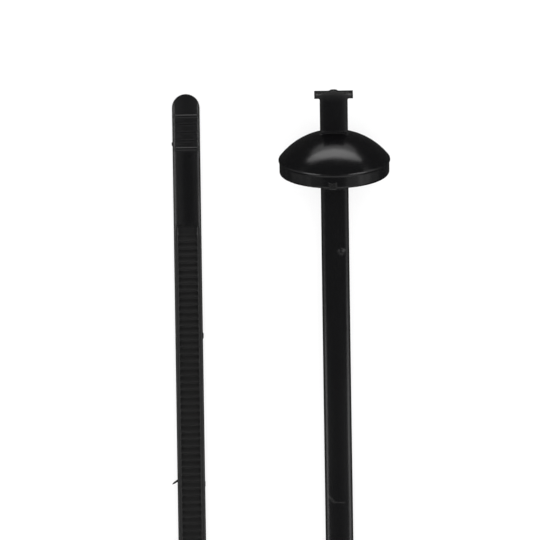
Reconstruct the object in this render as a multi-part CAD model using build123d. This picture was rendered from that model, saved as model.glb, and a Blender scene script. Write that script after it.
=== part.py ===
from build123d import *
import os
from math import atan2, cos, degrees, pi, radians, sin

# A cable tie moulded in one piece: a strap with a rack on one face and a tail, and a domed head with a
# flat T stud on top. It lies bent in a U: the head leg shows its smooth face, the bend stands on edge
# and the tail leg shows its teeth. Millimetres, +Z up, the middle of the box's underside at the origin.

# Strap section
strap_width = 4.8
strap_thickness = 1.3
smooth_edge = 0.4
rail_edge = 0.15
rack_width = 3.4
rack_depth = 0.55

# Rack: saw teeth, steep towards the head, so that the strap runs in but not out
tooth_pitch = 1.227
tooth_height = 0.42
tooth_land = 0.09
tooth_seat = 0.12
plain_at_head = 12.19
plain_at_tail = 22.7
rack_ramp = 1.6

# Grips near the tip: the two at the ends stand higher than those between
grip_count = 5
grip_pitch = 1.41
grip_inset = 3.87
grip_width = 0.6
grip_height = 0.2
grip_between = 0.13
grip_margin = 0.4

# How the tie lies
leg_spacing = 25.6
tail_beyond_rim = 13.84
straight_to = 69.0
twist_length = 36.0
twist_stations = 5
head_tilt = 17.1

# Dome: a hollow cap with a short skirt and a small lip round its top edge
dome_height = 7.2
skirt_radius = 9.49
skirt_height = 2.0
skirt_drop = 0.2
lip_proud = 0.16
lip_rise = 0.1
lip_band = 0.27
lip_edge = 0.5
dome_wall = 1.2
skirt_edge = 0.35

# Head core: slot for the tail, and the pawl that locks it
core_width = 7.2
core_front = 1.5
core_wall = 1.2
core_drop = 1.6
core_edge = 0.5
slot_clearance = 0.15
slot_play = 0.35
slot_offset = 2.5
slot_lead_in = 0.4
pawl_side_gap = 0.2
pawl_clearance = 0.1
pawl_thickness = 0.9
pawl_root = 0.9
pawl_length = 4.2
pawl_bite = 0.6
pawl_teeth = 2
root_web = 0.3

# Shoulder where the strap leaves the core, on the smooth side
shoulder_drop = 2.6
shoulder_proud = 0.3
shoulder_edge = 0.15

# Pip left by an ejector pin on the head leg's smooth face
pin_mark_from_rim = 14.15
pin_mark_aside = 1.0
pin_mark_diameter = 0.9
pin_mark_height = 0.2

# T stud
stud_top = 14.37
stud_thickness = 1.5
bar_length = 6.65
bar_depth = 1.01
stud_fillet = 0.25
root_fillet = 0.3
pip_diameter = 1.4
pip_height = 0.25

# Gate stub on the front of the skirt
gate_width = 1.25
gate_aside = 0.4
gate_low = 0.3
gate_high = 0.9
gate_proud = 0.16

# Worked out from the sizes above
half_gap = leg_spacing / 2
half_thickness = strap_thickness / 2
edge_height = strap_width / 2
rack_floor = half_thickness - rack_depth
lip_radius = skirt_radius + lip_proud
lip_top = skirt_height + lip_rise + lip_band
cap_height = dome_height - lip_top
dome_radius = (lip_radius**2 + cap_height**2) / (2 * cap_height)
tilt = radians(head_tilt)
rim_height = skirt_radius * cos(tilt)
head_arc_radius = (rim_height - edge_height) / (1 - cos(tilt))
head_arc_run = head_arc_radius * sin(tilt)
tail_run = straight_to + tail_beyond_rim
tail_drop = edge_height - half_thickness
tail_slope = 2 * atan2(tail_drop, tail_run)
tail_arc_radius = tail_run / sin(tail_slope)
bend_y = -(straight_to + twist_length)

# Lengths along the strap, from the rim plane of the head to the tip
arc_end = head_arc_radius * tilt
twist_start = arc_end + straight_to - head_arc_run
bend_start = twist_start + twist_length
bend_end = bend_start + pi * half_gap
tail_start = bend_end + twist_length
strap_end = tail_start + tail_arc_radius * tail_slope
rack_start = plain_at_head
rack_end = strap_end - plain_at_tail


def eased(share):
    """Share of a twist that is done: it starts and ends gently."""
    return share * share * (3 - 2 * share)


def frame_at(length):
    """Plane across the strap at a length from the rim: z runs on to the tip, y out of the toothed face."""
    if length <= arc_end:
        slope = tilt - length / head_arc_radius
        centre = Vector(half_gap, -head_arc_run, edge_height + head_arc_radius)
        normal = Vector(0, sin(slope), -cos(slope))
        along = Vector(0, -cos(slope), -sin(slope))
        origin = centre + normal * head_arc_radius
    elif length <= bend_start:
        turn = pi / 2 * eased(max(0, length - twist_start) / twist_length)
        normal = Vector(-sin(turn), 0, -cos(turn))
        along = Vector(0, -1, 0)
        origin = Vector(half_gap, -head_arc_run - (length - arc_end), edge_height)
    elif length <= bend_end:
        swing = (length - bend_start) / half_gap
        normal = Vector(-cos(swing), sin(swing), 0)
        along = Vector(-sin(swing), -cos(swing), 0)
        origin = Vector(0, bend_y, edge_height) - normal * half_gap
    elif length <= tail_start:
        turn = pi / 2 * eased((length - bend_end) / twist_length)
        normal = Vector(cos(turn), 0, sin(turn))
        along = Vector(0, 1, 0)
        origin = Vector(-half_gap, bend_y + length - bend_end, edge_height)
    else:
        slope = (length - tail_start) / tail_arc_radius
        centre = Vector(-half_gap, -straight_to, edge_height - tail_arc_radius)
        normal = Vector(0, sin(slope), cos(slope))
        along = Vector(0, cos(slope), -sin(slope))
        origin = centre + normal * tail_arc_radius
    return Plane(origin=origin, x_dir=normal.cross(along), z_dir=along)


def strap_section(racked):
    """The strap cut across: bevelled edges on the smooth face, and rails beside the rack on the other."""
    section = Rectangle(strap_width, strap_thickness)
    section = chamfer(section.vertices().group_by(Axis.Y)[0], smooth_edge)
    section = chamfer(section.vertices().group_by(Axis.Y)[-1], rail_edge)
    if racked:
        section -= Pos(0, half_thickness) * Rectangle(rack_width, 2 * rack_depth)
    return section


def arc_stretch(start, end, centre, direction, radius, racked):
    """A stretch of strap that bends about an axis."""
    face = frame_at(start) * strap_section(racked)
    turn = degrees((end - start) / radius)
    return revolve(face, axis=Axis(centre, direction), revolution_arc=turn)


def twist_stretch(start):
    """A stretch of strap that turns a quarter about its own length."""
    lengths = [start + twist_length * i / (twist_stations - 1) for i in range(twist_stations)]
    return loft([frame_at(length) * strap_section(True) for length in lengths])


def head_leg():
    """From the rim of the head: an arc down to the level of the bend, then straight."""
    centre = (half_gap, -head_arc_run, edge_height + head_arc_radius)
    down = (-1, 0, 0)
    plain = arc_stretch(0, rack_start, centre, down, head_arc_radius, False)
    racked = arc_stretch(rack_start, arc_end, centre, down, head_arc_radius, True)
    level = frame_at(arc_end)
    straight = extrude(level * strap_section(True), amount=twist_start - arc_end, dir=level.z_dir)
    return [plain, racked, straight]


def bend():
    """The half circle at the foot of the U, standing on edge with its teeth inwards."""
    centre = (0, bend_y, edge_height)
    return arc_stretch(bend_start, bend_end, centre, (0, 0, -1), half_gap, True)


def tail_leg():
    """From the bend's level to the floor: racked, then plain, with a round tip."""
    centre = (-half_gap, -straight_to, edge_height - tail_arc_radius)
    down = (-1, 0, 0)
    racked = arc_stretch(tail_start, rack_end, centre, down, tail_arc_radius, True)
    plain = arc_stretch(rack_end, strap_end, centre, down, tail_arc_radius, False)
    nose = frame_at(strap_end)
    corners = Box(2 * strap_width, 2 * strap_width, strap_width)
    corners -= Pos(0, 0, -edge_height) * Rot(90, 0, 0) * Cylinder(edge_height, 3 * strap_width)
    corners -= Pos(0, 0, -strap_width) * Box(3 * strap_width, 3 * strap_width, strap_width)
    plain -= nose * corners
    return [racked, plain]


def wedge(run, height):
    """A tooth or ramp on the rack's floor: steep at z=0, and sloping into the floor by z=run."""
    low = rack_floor - tooth_seat
    high = rack_floor + height
    outline = Polyline((low, 0), (high, 0), (rack_floor - tooth_seat / 2, run), (low, run), close=True)
    side = Plane.YZ * make_face(outline)
    return extrude(side, amount=rack_width / 2 + tooth_seat, both=True)


def rack():
    """All the teeth, and the ramp that leads up to the tail."""
    tooth = wedge(tooth_pitch - tooth_land, tooth_height)
    first = rack_start + tooth_pitch
    count = int((rack_end - rack_ramp - first) / tooth_pitch)
    teeth = [frame_at(first + tooth_pitch * i) * tooth for i in range(count)]
    ramp = frame_at(rack_end) * Rot(0, 180, 0) * wedge(rack_ramp, rack_depth)
    return teeth + [ramp]


def grip(height):
    """A low round rib across the toothed face."""
    rib_radius = (grip_width**2 / 4 + height**2) / (2 * height)
    rib = Rot(0, 90, 0) * Cylinder(rib_radius, strap_width - 2 * grip_margin)
    return Pos(0, half_thickness + height - rib_radius, 0) * rib


def grips():
    """The row of grips near the tip."""
    heights = [grip_height] + [grip_between] * (grip_count - 2) + [grip_height]
    return [frame_at(strap_end - grip_inset - grip_pitch * i) * grip(heights[i]) for i in range(grip_count)]


def pin_mark():
    """A low round pip on the smooth face of the head leg."""
    pip = Rot(90, 0, 0) * Cylinder(pin_mark_diameter / 2, 2 * pin_mark_height)
    return frame_at(pin_mark_from_rim) * Pos(-pin_mark_aside, -half_thickness, 0) * pip


def dome_solid():
    """The dome without its hollow, about z, with the strap's root at z=0 and the skirt a little lower."""
    side = Polyline(
        (0, -skirt_drop),
        (skirt_radius, -skirt_drop),
        (skirt_radius, skirt_height),
        (lip_radius, skirt_height + lip_rise),
        (lip_radius, lip_top),
    )
    cap = RadiusArc((lip_radius, lip_top), (0, dome_height), -dome_radius)
    profile = make_face(side + cap + Line((0, dome_height), (0, -skirt_drop)))
    corner = profile.vertices().sort_by_distance((lip_radius, lip_top))[0]
    profile = fillet(corner, lip_edge)
    foot = profile.vertices().sort_by_distance((skirt_radius, -skirt_drop))[0]
    profile = fillet(foot, skirt_edge)
    return revolve(Plane.XZ * profile, axis=Axis.Z)


def dome_hollow():
    """The space under the dome: a ball inside a well that is open at the rim."""
    ball = Pos(0, 0, dome_height - dome_radius) * Sphere(dome_radius - dome_wall)
    well = Cylinder(skirt_radius - dome_wall, dome_height, align=(Align.CENTER, Align.CENTER, Align.MIN))
    return ball & Pos(0, 0, -skirt_drop) * well


def core():
    """The block inside the dome, round the slot, the pawl and the root of the strap."""
    back = slot_offset + strap_thickness + slot_play + core_wall
    height = dome_height + core_drop
    block = Box(core_width, core_front + back, height, align=(Align.CENTER, Align.MIN, Align.MIN))
    block = fillet(block.edges().filter_by(Axis.Z), core_edge)
    reach = Cylinder(skirt_radius, core_drop, align=(Align.CENTER, Align.CENTER, Align.MAX))
    return Pos(0, -core_front, -core_drop) * block & (dome_solid() + reach)


def tail_slot():
    """The slot that the tail runs through, with a lead-in, and the chamber of the pawl beside it."""
    width = strap_width + 2 * slot_clearance
    play = strap_thickness + slot_play
    height = dome_height + core_drop
    middle = Pos(0, slot_offset + play / 2, -core_drop)
    slot = middle * Box(width, play, 2 * height)
    mouth = middle * Rectangle(width + 2 * slot_lead_in, play + 2 * slot_lead_in)
    throat = Pos(0, 0, slot_lead_in) * middle * Rectangle(width, play)
    slot += loft([mouth, throat])
    back = half_thickness + root_web
    opening = rack_width - 2 * pawl_clearance + 2 * pawl_side_gap
    chamber = Box(opening, slot_offset - back + play / 2, height, align=(Align.CENTER, Align.MIN, Align.MIN))
    return slot + Pos(0, back, pawl_root - core_drop) * chamber


def pawl():
    """The flexible finger: it leans into the slot, and its teeth stop the strap from running back."""
    foot = pawl_root - core_drop
    top = foot + pawl_length
    crest = slot_offset + pawl_bite
    valley = crest - tooth_height
    first_tooth = top - pawl_teeth * tooth_pitch
    points = [(slot_offset - pawl_thickness, foot - tooth_seat), (slot_offset, foot - tooth_seat)]
    points += [(slot_offset, foot), (valley, first_tooth)]
    for i in range(pawl_teeth):
        steep = first_tooth + tooth_pitch * (i + 1)
        points += [(crest, steep), (valley, steep)]
    points += [(valley - pawl_thickness, top), (slot_offset - pawl_thickness, foot)]
    side = Plane.YZ * make_face(Polyline(*points, close=True))
    return extrude(side, amount=rack_width / 2 - pawl_clearance, both=True)


def stud():
    """The flat T that stands on the dome, with fillets under its bar and a pip on top."""
    shank = Rectangle(strap_width, stud_top, align=(Align.CENTER, Align.MIN))
    bar = Pos(0, stud_top) * Rectangle(bar_length, bar_depth, align=(Align.CENTER, Align.MAX))
    outline = shank + bar
    corners = outline.vertices().group_by(Axis.Y)[1]
    inner = corners.filter_by(lambda v: abs(v.X) < (strap_width + bar_length) / 4)
    outline = fillet(inner, stud_fillet)
    body = extrude(Plane.XZ * outline, amount=stud_thickness / 2, both=True)
    return body + Pos(0, 0, stud_top) * Cylinder(pip_diameter / 2, 2 * pip_height)


def shoulder():
    """The thicker root of the strap, just below the core."""
    depth = strap_thickness + shoulder_proud
    root = Box(strap_width, depth, shoulder_drop, align=(Align.CENTER, Align.MAX, Align.MAX))
    front = root.edges().filter_by(Axis.X).sort_by(lambda e: e.center().Y + e.center().Z)[0]
    return Pos(0, half_thickness, 0) * chamfer(front, shoulder_edge)


def gate():
    """What is left of the gate: a small square stub on the front of the skirt."""
    depth = dome_wall / 2 + gate_proud
    stub = Box(gate_width, depth, gate_low + gate_high, align=(Align.CENTER, Align.MIN, Align.MIN))
    return Pos(-gate_aside, -skirt_radius - gate_proud, -gate_low) * stub


def capped_stud():
    """The dome with the stud on it, and a small fillet where they meet."""
    shape = dome_solid() + stud()
    low = dome_height - strap_width
    roots = shape.edges().filter_by(lambda e: low < e.center().Z < dome_height)
    roots = roots.filter_by(lambda e: abs(e.center().X) < strap_width)
    roots = roots.filter_by(lambda e: e.bounding_box().size.Z < strap_width / 2)
    return fillet(roots, root_fillet)


def head():
    """Dome, core, stud and gate about z, with the strap's root at z=0 and the toothed side towards +y."""
    shape = capped_stud() - dome_hollow()
    shape += core()
    shape -= tail_slot()
    return shape + pawl() + shoulder() + gate()


def cable_tie():
    """The whole tie as one solid, lying on z=0."""
    rim = Plane(origin=frame_at(0).origin, x_dir=(1, 0, 0), z_dir=-frame_at(0).z_dir)
    stretches = head_leg() + [twist_stretch(twist_start), bend(), twist_stretch(bend_end)] + tail_leg()
    strap = stretches[0]
    for stretch in stretches[1:]:
        strap += stretch
    tie = strap + rack() + grips() + pin_mark() + rim * head()
    box = tie.bounding_box()
    return Pos(-box.center().X, -box.center().Y, -box.min.Z) * tie


os.makedirs("parts", exist_ok=True)
export_step(cable_tie(), "parts/cable_tie.step")
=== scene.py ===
import bmesh
import bpy
from math import cos, pi, radians, sin
from mathutils import Matrix, Vector


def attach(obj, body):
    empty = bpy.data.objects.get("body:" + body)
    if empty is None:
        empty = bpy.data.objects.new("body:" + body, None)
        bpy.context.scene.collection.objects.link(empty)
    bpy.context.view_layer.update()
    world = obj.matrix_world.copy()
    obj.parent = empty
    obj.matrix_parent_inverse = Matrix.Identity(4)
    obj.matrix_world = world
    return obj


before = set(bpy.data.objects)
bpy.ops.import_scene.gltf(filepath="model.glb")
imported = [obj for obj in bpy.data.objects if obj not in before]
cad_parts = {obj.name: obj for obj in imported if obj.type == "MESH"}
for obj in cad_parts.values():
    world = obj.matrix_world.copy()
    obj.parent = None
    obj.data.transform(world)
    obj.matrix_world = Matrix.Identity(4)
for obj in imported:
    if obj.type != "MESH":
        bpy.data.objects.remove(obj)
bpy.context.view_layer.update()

# All sizes below are in mm, and this turns them into Blender's metres
MM = 0.001

# The head: the middle of its rim plane, the way it points and the way its front faces. Heights are
# from the rim plane, along the way it points. The cap is the dome with its skirt and lip, and lies
# within a reach of its middle height. What strays less than the skin's depth is on a surface.
HEAD_TILT = radians(17.1)
RIM = Vector((9.184, 52.135, 9.070))
HEAD_AXIS = Vector((0, cos(HEAD_TILT), sin(HEAD_TILT)))
HEAD_FRONT = Vector((0, -sin(HEAD_TILT), cos(HEAD_TILT)))
DOME_RADIUS = 12.055
DOME_HEIGHT = 7.2
SKIRT_RADIUS = 9.49
CAP_MIDDLE = 3.5
CAP_REACH = 3.9
# Where the gate's cut face lies, which is painted paler as a painted highlight
GATE_ASIDE = 0.4
GATE_HEIGHT = 0.3
GATE_REACH = 1.0
# The stud is painted paler from the first of these heights to the second: a painted sheen where light falls
# on its top
SHEEN_FROM = 12.5
SHEEN_TO = 14.4
SKIN = 0.05

# The legs: the tail leg's middle in X, half a leg's width, and where zones start or end along Y
TAIL_X = -16.416
HALF_WIDTH = 2.4
LEGS_START = -45.0
RACK_FADES_AT = 44.1
RACK_FULL_AT = 40.3
GRIPS_START = 55.9
GRIPS_HALF_WIDTH = 1.95

# Scuffs low on the head leg: two ends of each, seen from above, and half its width
SCUFFS = (((7.43, -4.23, 0), (8.28, -5.19, 0), 0.22),
          ((8.28, -5.3, 0), (10.1, -5.36, 0), 0.11))
SCUFF_BLUR = 0.4

# The nylon's colours, as sRGB
BLACK = "#0A0A0B"
RACK_BLACK = "#0F0F0F"
# A painted highlight on the gate's cut face, where it catches light
GATE_HIGHLIGHT = "#181818"
SCUFFED = "#1C1C1C"
# A painted sheen on the stud's top, where the light falls
STUD_TOP_SHEEN = "#1F1F1F"

# The nylon's roughness, from its clouds' glossy parts to their dull ones
POLISHED = (0.15, 0.22)
SATIN = (0.18, 0.26)
PLAIN_TAIL = (0.16, 0.22)
MATT_RACK = (0.38, 0.5)
GRIPS = 0.29
NYLON_IOR = 1.53

# The nylon's patterns: size of the noise, its detail and its roughness
CLOUDS = (2.5, 4, 0.6)
WAVES = (4, 2, 0.5)
GRAIN = (0.18, 3, 0.6)

# The nylon's relief: depth of a pattern or crown, and radius of an edge
WAVE_DEPTH = 0.03
GRAIN_DEPTH = 0.004
LEG_CROWN = 0.2
STUD_CROWN = 0.34
ROUND_EDGE = 0.8
TIGHT_EDGE = 0.3
EDGE_SAMPLES = 12

# Burrs, flash and a whisker on the tail leg's edges: points along each, and its radius at each point
FLASH = {
    "burr_high": ([(-18.60, 56.85, 0.9), (-18.78, 57.15, 0.95), (-18.80, 57.55, 0.95), (-18.60, 57.85, 0.9)],
                  [0.06, 0.17, 0.17, 0.05]),
    "whisker": ([(-18.5, -0.95, 2.3), (-18.92, -1.22, 2.35), (-19.35, -1.5, 2.4), (-19.72, -1.74, 2.42)],
                [0.17, 0.19, 0.16, 0.06]),
    "flash_upper": ([(-14.20, 23.2, 1.95), (-14.06, 23.6, 1.97), (-14.05, 24.3, 1.97), (-14.20, 24.9, 1.95)],
                    [0.05, 0.16, 0.16, 0.05]),
    "flash_lower": ([(-14.20, -2.5, 2.3), (-14.1, -2.1, 2.32), (-14.1, -1.4, 2.32), (-14.20, -0.8, 2.3)],
                    [0.05, 0.14, 0.14, 0.05]),
}
FLASH_SIDES = 10

# Camera: far off with a long lens, over the head, and looking at the middle of the picture
AIM = Vector((-2.20, 35.27, 5.0))
CAMERA_SHIFT = 16.9
CAMERA_HEIGHT = 1100
PICTURE_WIDTH = 93.58
CAMERA_ROLL = 0.0152
SENSOR = 36
SIGHT = 10000

# The room: its dim light, and a glow that gathers where a way points sideways (X) and low (Z)
ROOM_LIGHT = 0.045
SIDE_GLOW = 0.3
GLOW_SIDEWAYS = (0.9, 0.99)
GLOW_LOW = (0.35, 0.1)

# The floor: half its width, and how far the camera sees it lifted to white
FLOOR_HALF = 3000
FLOOR_WHITE = "#F8F8F8"
FLOOR_LIFT = 0.75


def linear(code):
    """Colour of an sRGB hex code, as Blender's linear values."""
    shares = [int(code[i:i + 2], 16) / 255 for i in (1, 3, 5)]
    return [s / 12.92 if s <= 0.04045 else ((s + 0.055) / 1.055) ** 2.4 for s in shares] + [1]


def add(tree, kind, inputs=None, **settings):
    """A node of a kind, with its settings. Each input is a value, or another node's output to link."""
    made = tree.nodes.new("ShaderNode" + kind)
    for name, value in settings.items():
        setattr(made, name, value)
    for socket, source in (inputs or {}).items():
        if isinstance(source, bpy.types.NodeSocket):
            tree.links.new(source, made.inputs[socket])
        else:
            made.inputs[socket].default_value = source
    return made


def calc(tree, operation, *terms, **settings):
    """Number that a maths node makes of its terms."""
    return add(tree, "Math", dict(enumerate(terms)), operation=operation, **settings).outputs[0]


def vector(tree, operation, *terms):
    """What a vector maths node makes of its terms: a distance, a dot product, or else a vector."""
    made = add(tree, "VectorMath", dict(enumerate(terms)), operation=operation)
    return made.outputs["Value" if operation in ("DISTANCE", "DOT_PRODUCT") else "Vector"]


def scaled(tree, way, factor):
    """A vector times a number."""
    return add(tree, "VectorMath", {0: way, 3: factor}, operation="SCALE").outputs["Vector"]


def ramp(tree, value, start, end, low=0, high=1):
    """Number that goes from low to high while the value goes from start to end."""
    return add(tree, "MapRange", {0: value, 1: start, 2: end, 3: low, 4: high}).outputs[0]


def opposite(tree, share):
    """What a share leaves of one."""
    return calc(tree, "SUBTRACT", 1, share)


def blend(tree, share, low, high):
    """Mix of two numbers by a share."""
    return add(tree, "Mix", {0: share, 2: low, 3: high}).outputs[0]


def blend_ways(tree, share, low, high):
    """Mix of two directions by a share."""
    return add(tree, "Mix", {0: share, 4: low, 5: high}, data_type="VECTOR").outputs[1]


def blend_colours(tree, share, low, high):
    """Mix of two colours by a share."""
    return add(tree, "Mix", {0: share, 6: low, 7: high}, data_type="RGBA").outputs[2]


def noise(tree, place, size, detail, roughness):
    """Noise with features of a size in mm."""
    inputs = {"Vector": place, "Scale": 1 / size, "Detail": detail, "Roughness": roughness}
    return add(tree, "TexNoise", inputs).outputs[0]


def bump(tree, height, depth, normal):
    """Normal of a surface raised by a height from 0 to 1 times a depth in mm."""
    inputs = {"Strength": 1, "Distance": depth * MM, "Height": height, "Normal": normal}
    return add(tree, "Bump", inputs).outputs[0]


def empty_tree(owner):
    """The owner's node tree, with nothing in it."""
    owner.use_nodes = True
    owner.node_tree.nodes.clear()
    return owner.node_tree


def place_camera():
    """The camera, with its picture rolled a little as the photograph is."""
    lens_at = AIM + Vector((0, CAMERA_SHIFT, CAMERA_HEIGHT))
    back = (lens_at - AIM).normalized()
    right = Vector((CAMERA_ROLL, 1, 0)).cross(back).normalized()
    up = back.cross(right)
    data = bpy.data.cameras.new("camera")
    data.sensor_width = SENSOR
    data.lens = data.sensor_width * (lens_at - AIM).length / PICTURE_WIDTH
    data.dof.use_dof = False
    data.clip_end = SIGHT * MM
    camera = bpy.data.objects.new("camera", data)
    turn = Matrix((right, up, back)).transposed().to_4x4()
    camera.matrix_world = Matrix.Translation(lens_at * MM) @ turn
    bpy.context.scene.collection.objects.link(camera)
    bpy.context.scene.camera = camera


def softbox(name, place, target, width, height, radiance, glossy=True):
    """An even oval lamp that faces a target. Radiance 1 is as bright as white paper."""
    data = bpy.data.lights.new(name, "AREA")
    data.shape = "ELLIPSE"
    data.size = width * MM
    data.size_y = height * MM
    data.energy = pi * radiance * data.size * data.size_y
    lamp = bpy.data.objects.new(name, data)
    lamp.location = Vector(place) * MM
    lamp.rotation_euler = (Vector(place) - Vector(target)).to_track_quat("Z", "Y").to_euler()
    lamp.visible_glossy = glossy
    bpy.context.scene.collection.objects.link(lamp)


def pair(name, place, target, width, height, left, right):
    """A lamp at the right and its mirror at the left, each with its own radiance."""
    softbox("left_" + name, (-place[0], *place[1:]), target, width, height, left)
    softbox("right_" + name, place, target, width, height, right)


def hang_lamps():
    """The studio's lamps."""
    # The dome's highlight: a bright band over a dimmer, lower one
    softbox("key", (9, 652, 112), (9, 52, 15), 880, 210, 1.8)
    softbox("key_spill", (9, 652, 15), (9, 52, 15), 620, 400, 0.55)
    # The lines along rounded edges and rails, and a soft light on the flat faces
    pair("box", (450, 60, 420), (0, 60, 0), 420, 420, 1.7, 1.7)
    pair("high", (230, 60, 800), (0, 60, 0), 420, 230, 0.14, 0.14)
    # A faint sheen on the skirt and on what faces aside
    pair("far", (420, -330, 400), (0, 60, 0), 500, 400, 0.1, 0.22)
    softbox("front_card", (0, -700, 150), (0, 50, 0), 1400, 1000, 0.45)
    pair("card", (650, 20, 230), (0, 20, 0), 1400, 350, 0.15, 0.35)
    # The plain light of the room, which makes no reflection
    softbox("fill", (0, 0, 1500), (0, 0, 0), 2000, 2000, 2.7, glossy=False)


def light_world():
    """A dim room with a low glow at its left and right, which the camera sees as white."""
    world = bpy.data.worlds.new("room")
    bpy.context.scene.world = world
    tree = empty_tree(world)
    way = add(tree, "SeparateXYZ", {0: add(tree, "TexCoord").outputs["Generated"]})
    beside = ramp(tree, calc(tree, "ABSOLUTE", way.outputs["X"]), *GLOW_SIDEWAYS, 0, SIDE_GLOW)
    low = ramp(tree, way.outputs["Z"], *GLOW_LOW)
    room = calc(tree, "ADD", calc(tree, "MULTIPLY", beside, low), ROOM_LIGHT)
    dim = add(tree, "Background", {"Color": room, "Strength": 1})
    white = add(tree, "Background", {"Color": (1, 1, 1, 1), "Strength": 1})
    seen = add(tree, "LightPath").outputs["Is Camera Ray"]
    both = add(tree, "MixShader", {0: seen, 1: dim.outputs[0], 2: white.outputs[0]})
    add(tree, "OutputWorld", {"Surface": both.outputs[0]})


def lay_floor():
    """A white floor: the camera sees it lifted to white, with the soft shadow left in."""
    material = bpy.data.materials.new("white_floor")
    tree = empty_tree(material)
    paper = add(tree, "BsdfDiffuse", {"Color": linear(FLOOR_WHITE)})
    glow = add(tree, "Emission", {"Color": (1, 1, 1, 1), "Strength": 1})
    seen = add(tree, "LightPath").outputs["Is Camera Ray"]
    share = calc(tree, "MULTIPLY", seen, FLOOR_LIFT)
    both = add(tree, "MixShader", {0: share, 1: paper.outputs[0], 2: glow.outputs[0]})
    add(tree, "OutputMaterial", {"Surface": both.outputs[0]})
    mesh = bpy.data.meshes.new("floor")
    corners = [(-1, -1, 0), (1, -1, 0), (1, 1, 0), (-1, 1, 0)]
    mesh.from_pydata([Vector(corner) * FLOOR_HALF * MM for corner in corners], [], [(0, 1, 2, 3)])
    mesh.materials.append(material)
    floor = bpy.data.objects.new("floor", mesh)
    floor.visible_glossy = False
    bpy.context.scene.collection.objects.link(floor)


def scuff(tree, place, start, end, half_width):
    """Share of a short scuff between two places on the tie's face, seen from above."""
    run = Vector(end) - Vector(start)
    flat = vector(tree, "MULTIPLY", vector(tree, "SUBTRACT", place, Vector(start)), (1, 1, 0))
    along = vector(tree, "DOT_PRODUCT", flat, run)
    share = calc(tree, "MULTIPLY", along, 1 / run.length_squared, use_clamp=True)
    off = vector(tree, "DISTANCE", flat, scaled(tree, run, share))
    return ramp(tree, off, half_width * (1 + SCUFF_BLUR), half_width * (1 - SCUFF_BLUR))


def find_zones(tree, place):
    """Where a place is: its X and its height on the head, and its share in each zone of the tie."""
    parts = add(tree, "SeparateXYZ", {0: place})
    x, y = parts.outputs["X"], parts.outputs["Y"]
    from_rim = vector(tree, "SUBTRACT", place, RIM)
    above = vector(tree, "DOT_PRODUCT", from_rim, HEAD_AXIS)
    tail_side = calc(tree, "LESS_THAN", x, 0)
    head_side = opposite(tree, tail_side)

    # The dome's own surface: above the rim plane and inside the ball that the dome is part of
    ball = RIM + HEAD_AXIS * (DOME_HEIGHT - DOME_RADIUS)
    in_ball = calc(tree, "LESS_THAN", vector(tree, "DISTANCE", place, ball), DOME_RADIUS + SKIN)
    over_rim = calc(tree, "GREATER_THAN", above, -SKIN)
    dome = calc(tree, "MULTIPLY", in_ball, over_rim)

    # The tail leg's rack, with a soft start, and the grips near its tip
    racked = calc(tree, "MULTIPLY", tail_side, ramp(tree, y, RACK_FADES_AT, RACK_FULL_AT))
    in_line = calc(tree, "COMPARE", x, TAIL_X, GRIPS_HALF_WIDTH)
    gripped = calc(tree, "MULTIPLY", in_line, calc(tree, "GREATER_THAN", y, GRIPS_START))

    # The gate's cut face, painted paler as a painted highlight where it catches light: it alone stands in
    # front of the skirt
    scar = RIM + HEAD_FRONT * SKIRT_RADIUS + HEAD_AXIS * GATE_HEIGHT - Vector((GATE_ASIDE, 0, 0))
    near_scar = calc(tree, "LESS_THAN", vector(tree, "DISTANCE", place, scar), GATE_REACH)
    forward = vector(tree, "DOT_PRODUCT", from_rim, HEAD_FRONT)
    in_front = calc(tree, "GREATER_THAN", forward, SKIRT_RADIUS + SKIN)
    gate_glint = calc(tree, "MULTIPLY", near_scar, in_front)

    # Where edges are tight: on the rack, between the tail's grips, and on the dome and its skirt
    capped = calc(tree, "MULTIPLY", head_side, calc(tree, "COMPARE", above, CAP_MIDDLE, CAP_REACH))
    tight = calc(tree, "MAXIMUM", calc(tree, "MAXIMUM", racked, gripped), capped)

    # What is flat and so can be crowned: both legs and the stud, the stud the more so
    on_leg = calc(tree, "GREATER_THAN", y, LEGS_START)
    flat = calc(tree, "MULTIPLY", on_leg, opposite(tree, capped))
    stud = calc(tree, "MULTIPLY", calc(tree, "GREATER_THAN", above, DOME_HEIGHT), head_side)
    return {"x": x, "above": above, "tail_side": tail_side, "dome": dome, "racked": racked,
            "gripped": gripped, "gate_glint": gate_glint, "tight": tight, "flat": flat, "stud": stud}


def find_gloss(tree, place, zones):
    """Roughness: cloudy as moulded nylon is, polished on the dome, satin on the legs, matt on the rack."""
    cloud = noise(tree, place, *CLOUDS)
    finishes = (POLISHED, SATIN, PLAIN_TAIL, MATT_RACK)
    polished, satin, plain, matt = (ramp(tree, cloud, 0, 1, *ends) for ends in finishes)
    smooth_tail = blend(tree, zones["gripped"], plain, GRIPS)
    tail = blend(tree, zones["racked"], smooth_tail, matt)
    strap = blend(tree, zones["tail_side"], satin, tail)
    return blend(tree, zones["dome"], strap, polished)


def find_colour(tree, place, zones):
    """Black, a little paler on the rack and the scuffs, with a painted highlight on the gate's cut face and
    a painted sheen that pales the stud towards its top.
    """
    moulded = blend_colours(tree, zones["racked"], linear(BLACK), linear(RACK_BLACK))
    # Painted highlight on the gate's cut face, where it catches light
    gate_lit = blend_colours(tree, zones["gate_glint"], moulded, linear(GATE_HIGHLIGHT))
    # Painted sheen: the stud pales towards its top, where the light falls
    top_sheen = calc(tree, "POWER", ramp(tree, zones["above"], SHEEN_FROM, SHEEN_TO), 2)
    paler = blend_colours(tree, top_sheen, gate_lit, linear(STUD_TOP_SHEEN))
    scuffed = calc(tree, "MAXIMUM", *(scuff(tree, place, *each) for each in SCUFFS))
    return blend_colours(tree, scuffed, paler, linear(SCUFFED))


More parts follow.
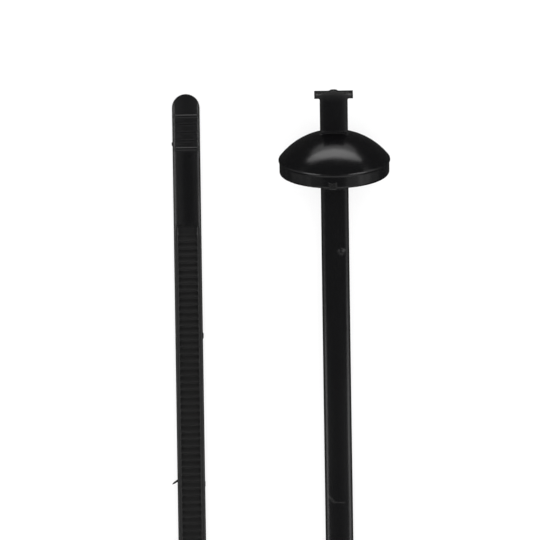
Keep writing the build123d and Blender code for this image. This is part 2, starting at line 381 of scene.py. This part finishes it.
def find_relief(tree, place, zones):
    """Normal: rounded edges, then the crown across flat parts, long shallow waves and a fine grain."""
    round_edge = add(tree, "Bevel", {"Radius": ROUND_EDGE * MM}, samples=EDGE_SAMPLES).outputs[0]
    tight_edge = add(tree, "Bevel", {"Radius": TIGHT_EDGE * MM}, samples=EDGE_SAMPLES).outputs[0]
    soft = blend_ways(tree, zones["tight"], round_edge, tight_edge)
    middle = blend(tree, zones["tail_side"], RIM.x, TAIL_X)
    aside = calc(tree, "DIVIDE", calc(tree, "SUBTRACT", zones["x"], middle), HALF_WIDTH)
    arch = opposite(tree, calc(tree, "MULTIPLY", aside, aside))
    height = calc(tree, "MULTIPLY", arch, blend(tree, zones["stud"], LEG_CROWN, STUD_CROWN))
    shaped = blend_ways(tree, zones["flat"], soft, bump(tree, height, 1, soft))
    waved = bump(tree, noise(tree, place, *WAVES), WAVE_DEPTH, shaped)
    return bump(tree, noise(tree, place, *GRAIN), GRAIN_DEPTH, waved)


def moulded_nylon():
    """Black moulded nylon: its gloss tells dome, legs and rack apart, and its colour hardly does."""
    material = bpy.data.materials.new("black_moulded_nylon")
    tree = empty_tree(material)
    place = scaled(tree, add(tree, "TexCoord").outputs["Object"], 1 / MM)
    zones = find_zones(tree, place)
    shader = add(tree, "BsdfPrincipled", {
        "IOR": NYLON_IOR,
        "Base Color": find_colour(tree, place, zones),
        "Roughness": find_gloss(tree, place, zones),
        "Normal": find_relief(tree, place, zones),
    })
    add(tree, "OutputMaterial", {"Surface": shader.outputs[0]})
    return material


def burr(finish, name, points, radii):
    """A smooth closed blob or whisker of nylon along a line of points, round in section."""
    spots = [Vector(p) for p in points]
    shape = bmesh.new()
    rings = []
    for i, spot in enumerate(spots):
        along = (spots[min(i + 1, len(spots) - 1)] - spots[max(i - 1, 0)]).normalized()
        aside = along.cross(Vector((0, 0, 1))).normalized()
        over = aside.cross(along)
        turns = [2 * pi * k / FLASH_SIDES for k in range(FLASH_SIDES)]
        ring = [spot + (aside * cos(t) + over * sin(t)) * radii[i] for t in turns]
        rings.append([shape.verts.new(point * MM) for point in ring])
    for low, high in zip(rings, rings[1:]):
        for k in range(FLASH_SIDES):
            after = (k + 1) % FLASH_SIDES
            shape.faces.new((low[k], low[after], high[after], high[k]))
    shape.faces.new(rings[0])
    shape.faces.new(rings[-1])
    bmesh.ops.recalc_face_normals(shape, faces=shape.faces)
    for face in shape.faces:
        face.smooth = True
    mesh = bpy.data.meshes.new(name)
    shape.to_mesh(mesh)
    shape.free()
    mesh.materials.append(finish)
    piece = bpy.data.objects.new(name, mesh)
    bpy.context.scene.collection.objects.link(piece)
    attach(piece, "root")


bpy.context.scene.view_settings.view_transform = "Standard"
place_camera()
light_world()
lay_floor()
hang_lamps()

nylon = moulded_nylon()
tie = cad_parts["cable_tie"]
for slot in tie.material_slots:
    slot.material = nylon
for name, (points, radii) in FLASH.items():
    burr(nylon, name, points, radii)
